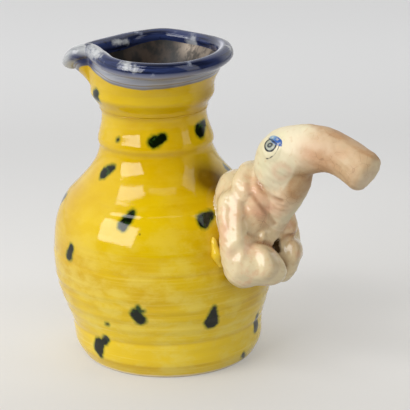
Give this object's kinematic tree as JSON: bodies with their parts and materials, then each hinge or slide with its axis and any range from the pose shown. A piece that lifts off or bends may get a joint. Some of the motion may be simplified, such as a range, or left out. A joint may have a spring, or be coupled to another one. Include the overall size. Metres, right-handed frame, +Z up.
{
  "type": "ceramic jug",
  "caption": "Hand-thrown ceramic jug in yellow glaze with dark brush dabs, a blue rolled rim drawn into a pouring lip, and a handle modelled as a long-nosed animal.",
  "frame": {"origin": "middle of the flat standing face, on the axis of the foot", "axes": "+Z up; the pouring lip points along -X; the animal handle stands out at 36 degrees from +X towards -Y, the side that the picture shows"},
  "size_m": [0.1495, 0.126, 0.1519],
  "materials": {
    "yellow_glaze": "glossy yellow glaze with dark brush dabs",
    "blue_glaze": "glossy dark blue glaze, worn pale on the edges",
    "cream_glaze": "glossy cream glaze with pink and tan washes",
    "eye_glaze": "glossy grey-green glaze with a dark painted ring"
  },
  "bodies": {
    "root": {"pot_body": "yellow_glaze", "neck_collar": "yellow_glaze", "rim_roll": "blue_glaze", "figure_torso": "cream_glaze", "figure_head": "cream_glaze", "right_arm": "cream_glaze", "left_arm": "cream_glaze", "nape_fold": "cream_glaze", "right_eye": "eye_glaze", "left_eye": "eye_glaze", "slip_bead": "yellow_glaze"}
  },
  "joints": []
}
